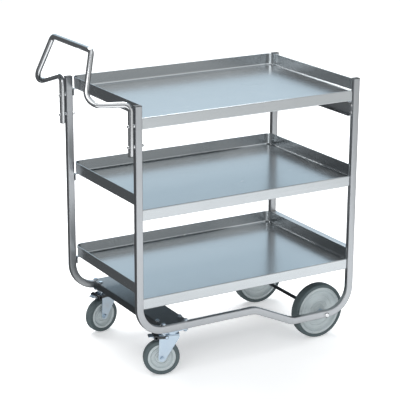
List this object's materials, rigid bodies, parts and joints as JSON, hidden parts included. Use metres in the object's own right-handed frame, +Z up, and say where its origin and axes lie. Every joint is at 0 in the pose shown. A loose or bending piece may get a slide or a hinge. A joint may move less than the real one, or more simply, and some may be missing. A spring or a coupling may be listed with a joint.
{
  "type": "utility cart",
  "caption": "Three-shelf stainless service cart with a raised push handle, two swivel casters with foot brakes and two large wheels on a fixed axle.",
  "frame": {"origin": "middle of the cart on the floor", "axes": "X from the push handle to the big wheels, Y from front to back, Z up"},
  "size_m": [1.0259, 0.5482, 1.1412],
  "materials": {
    "frame_steel": "brushed",
    "shelf_steel": "brushed",
    "handle_chrome": "polished",
    "bright_fastener": "plated",
    "zinc_steel": "zinc plated",
    "dark_steel": "black plated",
    "plate_steel": "oiled",
    "bearing_steel": "ground",
    "wheel_plastic": "satin",
    "grey_rubber": "matt",
    "dark_plastic": "moulded"
  },
  "bodies": {
    "cart": {"axle": "dark_steel", "axle_caps": "bright_fastener", "axle_collars": "zinc_steel", "axle_spacers": "zinc_steel", "back_caster_plate": "zinc_steel", "back_kingpin": "zinc_steel", "back_race_balls": "bearing_steel", "back_side_frame": "frame_steel", "back_upper_race": "zinc_steel", "bottom_shelf": "shelf_steel", "caster_bolt_sleeves": "zinc_steel", "caster_bolts": "zinc_steel", "caster_cross_plate": "plate_steel", "caster_nuts": "zinc_steel", "cross_member_bolts": "bright_fastener", "front_caster_plate": "zinc_steel", "front_kingpin": "zinc_steel", "front_race_balls": "bearing_steel", "front_side_frame": "frame_steel", "front_upper_race": "zinc_steel", "handle_acorn_nuts": "bright_fastener", "handle_bolts": "bright_fastener", "handle_end_plugs": "dark_plastic", "handle_spacers": "bright_fastener", "lower_cross_tube": "frame_steel", "middle_shelf": "shelf_steel", "post_cap_handle_back": "dark_plastic", "post_cap_handle_front": "dark_plastic", "post_cap_wheel_back": "dark_plastic", "post_cap_wheel_front": "dark_plastic", "push_handle": "handle_chrome", "shelf_brackets": "frame_steel", "top_shelf": "shelf_steel", "upper_cross_member": "frame_steel"},
    "back_big_wheel_body": {"back_big_bush": "bearing_steel", "back_big_hub": "wheel_plastic", "back_big_tyre": "grey_rubber"},
    "back_brake_body": {"back_brake_pedal": "dark_steel", "back_brake_tab": "zinc_steel"},
    "back_caster_swivel_body": {"back_brake_pin": "zinc_steel", "back_fork": "zinc_steel", "back_wheel_bolt": "zinc_steel", "back_wheel_nut": "zinc_steel", "back_wheel_sleeve": "zinc_steel"},
    "back_caster_wheel_body": {"back_caster_bush": "bearing_steel", "back_caster_hub": "wheel_plastic", "back_caster_tyre": "grey_rubber"},
    "front_big_wheel_body": {"front_big_bush": "bearing_steel", "front_big_hub": "wheel_plastic", "front_big_tyre": "grey_rubber"},
    "front_brake_body": {"front_brake_pedal": "dark_steel", "front_brake_tab": "zinc_steel"},
    "front_caster_swivel_body": {"front_brake_pin": "zinc_steel", "front_fork": "zinc_steel", "front_wheel_bolt": "zinc_steel", "front_wheel_nut": "zinc_steel", "front_wheel_sleeve": "zinc_steel"},
    "front_caster_wheel_body": {"front_caster_bush": "bearing_steel", "front_caster_hub": "wheel_plastic", "front_caster_tyre": "grey_rubber"}
  },
  "joints": [
    {"name": "front_caster_swivel", "type": "hinge", "parent": "cart", "child": "front_caster_swivel_body", "pos_m": [-0.22165, -0.236, 0.15], "axis": [0, 0, 1], "continuous": true},
    {"name": "front_caster_roll", "type": "hinge", "parent": "front_caster_swivel_body", "child": "front_caster_wheel_body", "pos_m": [-0.25548, -0.22369, 0.0635], "axis": [-0.342, -0.9397, 0], "continuous": true},
    {"name": "front_brake_press", "type": "hinge", "parent": "front_caster_swivel_body", "child": "front_brake_body", "pos_m": [-0.24044, -0.22916, 0.141], "axis": [-0.342, -0.9397, 0], "range_deg": [0, 10.5]},
    {"name": "back_caster_swivel", "type": "hinge", "parent": "cart", "child": "back_caster_swivel_body", "pos_m": [-0.22165, 0.236, 0.15], "axis": [0, 0, 1], "continuous": true},
    {"name": "back_caster_roll", "type": "hinge", "parent": "back_caster_swivel_body", "child": "back_caster_wheel_body", "pos_m": [-0.2571, 0.22975, 0.0635], "axis": [0.1736, -0.9848, 0], "continuous": true},
    {"name": "back_brake_press", "type": "hinge", "parent": "back_caster_swivel_body", "child": "back_brake_body", "pos_m": [-0.24135, 0.23253, 0.141], "axis": [0.1736, -0.9848, 0], "range_deg": [0, 10.5]},
    {"name": "front_big_wheel_roll", "type": "hinge", "parent": "cart", "child": "front_big_wheel_body", "pos_m": [0.40255, -0.2027, 0.1016], "axis": [0, 1, 0], "continuous": true},
    {"name": "back_big_wheel_roll", "type": "hinge", "parent": "cart", "child": "back_big_wheel_body", "pos_m": [0.40255, 0.2027, 0.1016], "axis": [0, 1, 0], "continuous": true}
  ]
}
